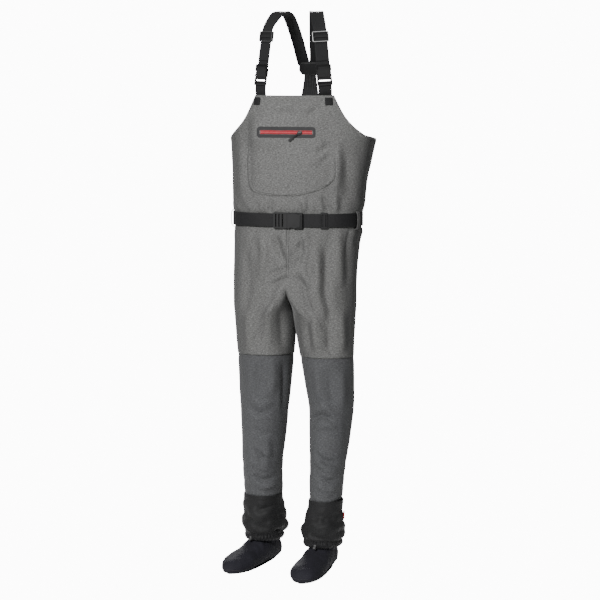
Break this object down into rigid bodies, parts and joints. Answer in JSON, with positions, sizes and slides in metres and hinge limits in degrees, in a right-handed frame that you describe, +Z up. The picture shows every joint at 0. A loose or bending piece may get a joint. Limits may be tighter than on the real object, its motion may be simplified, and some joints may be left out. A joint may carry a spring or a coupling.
{
  "type": "chest waders",
  "caption": "Stocking-foot chest waders: woven bib and trousers, zipped chest pocket, waist belt and webbing shoulder straps with side-release buckles, gravel guards.",
  "frame": {"origin": "on the floor under the middle of the trunk, midway between the feet", "axes": "+Z up, the wearer faces -Y, the wearer's left is +X"},
  "size_m": [0.432, 0.3917, 1.6598],
  "materials": {
    "light_fabric": "matt melange woven laminate",
    "dark_fabric": "matt melange woven laminate, darker reinforced grade",
    "guard_fabric": "smooth black woven fabric",
    "elastic": "ribbed elastic",
    "neoprene": "jersey-faced neoprene",
    "label": "plain woven tab",
    "zip_red": "satin coated zip tape",
    "laminate": "welded rubberised film",
    "dark_metal": "black painted metal",
    "webbing": "woven polypropylene webbing",
    "buckle_plastic": "moulded acetal"
  },
  "bodies": {
    "root": {"back_elastic": "elastic", "back_yoke": "webbing", "belt_buckle_socket": "buckle_plastic", "belt_webbing_main": "webbing", "bib_back_panel": "light_fabric", "bib_front_panel": "light_fabric", "chest_pocket_panel": "light_fabric", "left_belt_loop": "light_fabric", "left_knee_panel": "dark_fabric", "left_leg_back_panel": "light_fabric", "left_leg_front_panel": "light_fabric", "left_strap_back": "webbing", "left_strap_buckle_plug": "buckle_plastic", "left_strap_patch": "webbing", "left_strap_tab": "webbing", "right_belt_loop": "light_fabric", "right_knee_panel": "dark_fabric", "right_leg_back_panel": "light_fabric", "right_leg_front_panel": "light_fabric", "right_strap_back": "webbing", "right_strap_buckle_plug": "buckle_plastic", "right_strap_patch": "webbing", "right_strap_tab": "webbing", "zip_chain": "zip_red", "zip_frame": "laminate", "zip_tape": "zip_red"},
    "zip_slider": {"zip_slider": "dark_metal"},
    "zip_pull": {"zip_pull": "buckle_plastic"},
    "belt_plug": {"belt_buckle_plug": "buckle_plastic", "belt_webbing_right": "webbing"},
    "belt_latch_a": {"belt_latch_arm_a": "buckle_plastic"},
    "belt_latch_b": {"belt_latch_arm_b": "buckle_plastic"},
    "right_strap_latch_a": {"right_strap_latch_arm_a": "buckle_plastic"},
    "right_strap_latch_b": {"right_strap_latch_arm_b": "buckle_plastic"},
    "left_strap_latch_a": {"left_strap_latch_arm_a": "buckle_plastic"},
    "left_strap_latch_b": {"left_strap_latch_arm_b": "buckle_plastic"},
    "right_strap": {"right_strap_buckle_socket": "buckle_plastic", "right_strap_front": "webbing"},
    "right_adjuster": {"right_strap_adjuster": "buckle_plastic"},
    "left_strap": {"left_strap_buckle_socket": "buckle_plastic", "left_strap_front": "webbing"},
    "left_adjuster": {"left_strap_adjuster": "buckle_plastic"},
    "belt_keeper": {"belt_keeper": "buckle_plastic"},
    "right_shin": {"right_shin_panel": "dark_fabric", "right_gravel_guard": "guard_fabric", "right_guard_elastic": "elastic", "right_sock_shaft": "neoprene"},
    "right_foot": {"right_sock_foot": "neoprene", "right_sock_sole": "neoprene"},
    "right_hook": {"right_lace_hook": "dark_metal"},
    "left_shin": {"left_shin_panel": "dark_fabric", "left_gravel_guard": "guard_fabric", "left_guard_elastic": "elastic", "left_sock_shaft": "neoprene", "left_guard_label": "label"},
    "left_foot": {"left_sock_foot": "neoprene", "left_sock_sole": "neoprene"},
    "left_hook": {"left_lace_hook": "dark_metal"}
  },
  "joints": [
    {"name": "zip_slide", "type": "slide", "parent": "root", "child": "zip_slider", "axis": [-1, 0, 0], "range_m": [0, 0.118]},
    {"name": "zip_pull_lift", "type": "hinge", "parent": "zip_slider", "child": "zip_pull", "pos_m": [0.039, -0.1149, 1.303], "axis": [-0.6, 0, 0.8], "range_deg": [0, 100]},
    {"name": "belt_release", "type": "slide", "parent": "root", "child": "belt_plug", "axis": [-1, 0, 0], "range_m": [0, 0.032]},
    {"name": "belt_latch_a_squeeze", "type": "hinge", "parent": "belt_plug", "child": "belt_latch_a", "pos_m": [0.002, -0.10896, 1.0335], "axis": [0, -1, 0], "range_deg": [0, 5], "stiffness_Nm_per_rad": 0.05},
    {"name": "belt_latch_b_squeeze", "type": "hinge", "parent": "belt_plug", "child": "belt_latch_b", "pos_m": [0.002, -0.10896, 1.0585], "axis": [0, 1, 0], "range_deg": [0, 5], "stiffness_Nm_per_rad": 0.05},
    {"name": "right_strap_latch_a_squeeze", "type": "hinge", "parent": "root", "child": "right_strap_latch_a", "pos_m": [-0.07303, -0.09396, 1.46368], "axis": [-0.4115, -0.8982, 0.1545], "range_deg": [0, 5], "stiffness_Nm_per_rad": 0.05},
    {"name": "right_strap_latch_b_squeeze", "type": "hinge", "parent": "root", "child": "right_strap_latch_b", "pos_m": [-0.09571, -0.08346, 1.46433], "axis": [0.4115, 0.8982, -0.1545], "range_deg": [0, 5], "stiffness_Nm_per_rad": 0.05},
    {"name": "left_strap_latch_a_squeeze", "type": "hinge", "parent": "root", "child": "left_strap_latch_a", "pos_m": [0.11711, -0.0835, 1.46458], "axis": [0.4046, -0.8986, 0.17], "range_deg": [0, 5], "stiffness_Nm_per_rad": 0.05},
    {"name": "left_strap_latch_b_squeeze", "type": "hinge", "parent": "root", "child": "left_strap_latch_b", "pos_m": [0.09447, -0.09399, 1.46304], "axis": [-0.4046, 0.8986, -0.17], "range_deg": [0, 5], "stiffness_Nm_per_rad": 0.05},
    {"name": "right_strap_release", "type": "slide", "parent": "root", "child": "right_strap", "axis": [0.088, 0.1296, 0.9877], "range_m": [0, 0.026]},
    {"name": "right_strap_adjust", "type": "slide", "parent": "right_strap", "child": "right_adjuster", "axis": [0.088, 0.1296, 0.9877], "range_m": [-0.055, 0.004]},
    {"name": "left_strap_release", "type": "slide", "parent": "root", "child": "left_strap", "axis": [-0.1266, 0.129, 0.9835], "range_m": [0, 0.026]},
    {"name": "left_strap_adjust", "type": "slide", "parent": "left_strap", "child": "left_adjuster", "axis": [-0.1266, 0.129, 0.9835], "range_m": [-0.055, 0.004]},
    {"name": "belt_keeper_slide", "type": "slide", "parent": "root", "child": "belt_keeper", "axis": [0.9692, 0.2462, 0], "range_m": [-0.008, 0.008]},
    {"name": "right_knee_bend", "type": "hinge", "parent": "root", "child": "right_shin", "pos_m": [-0.099, 0, 0.48], "axis": [1, 0, 0], "range_deg": [0, 30]},
    {"name": "right_ankle_flex", "type": "hinge", "parent": "right_shin", "child": "right_foot", "pos_m": [-0.101, -0.002, 0.096], "axis": [0.9205, -0.3907, 0], "range_deg": [-6, 8]},
    {"name": "right_lace_hook_swing", "type": "hinge", "parent": "right_shin", "child": "right_hook", "pos_m": [-0.12679, -0.06475, 0.091], "axis": [-0.9205, 0.3907, 0], "range_deg": [0, 45]},
    {"name": "left_knee_bend", "type": "hinge", "parent": "root", "child": "left_shin", "pos_m": [0.107, -0.008, 0.48], "axis": [1, 0, 0], "range_deg": [0, 30]},
    {"name": "left_ankle_flex", "type": "hinge", "parent": "left_shin", "child": "left_foot", "pos_m": [0.096, -0.058, 0.096], "axis": [0.9945, -0.1045, 0], "range_deg": [-6, 8]},
    {"name": "left_lace_hook_swing", "type": "hinge", "parent": "left_shin", "child": "left_hook", "pos_m": [0.0889, -0.12857, 0.091], "axis": [-0.9945, 0.1045, 0], "range_deg": [0, 45]}
  ]
}
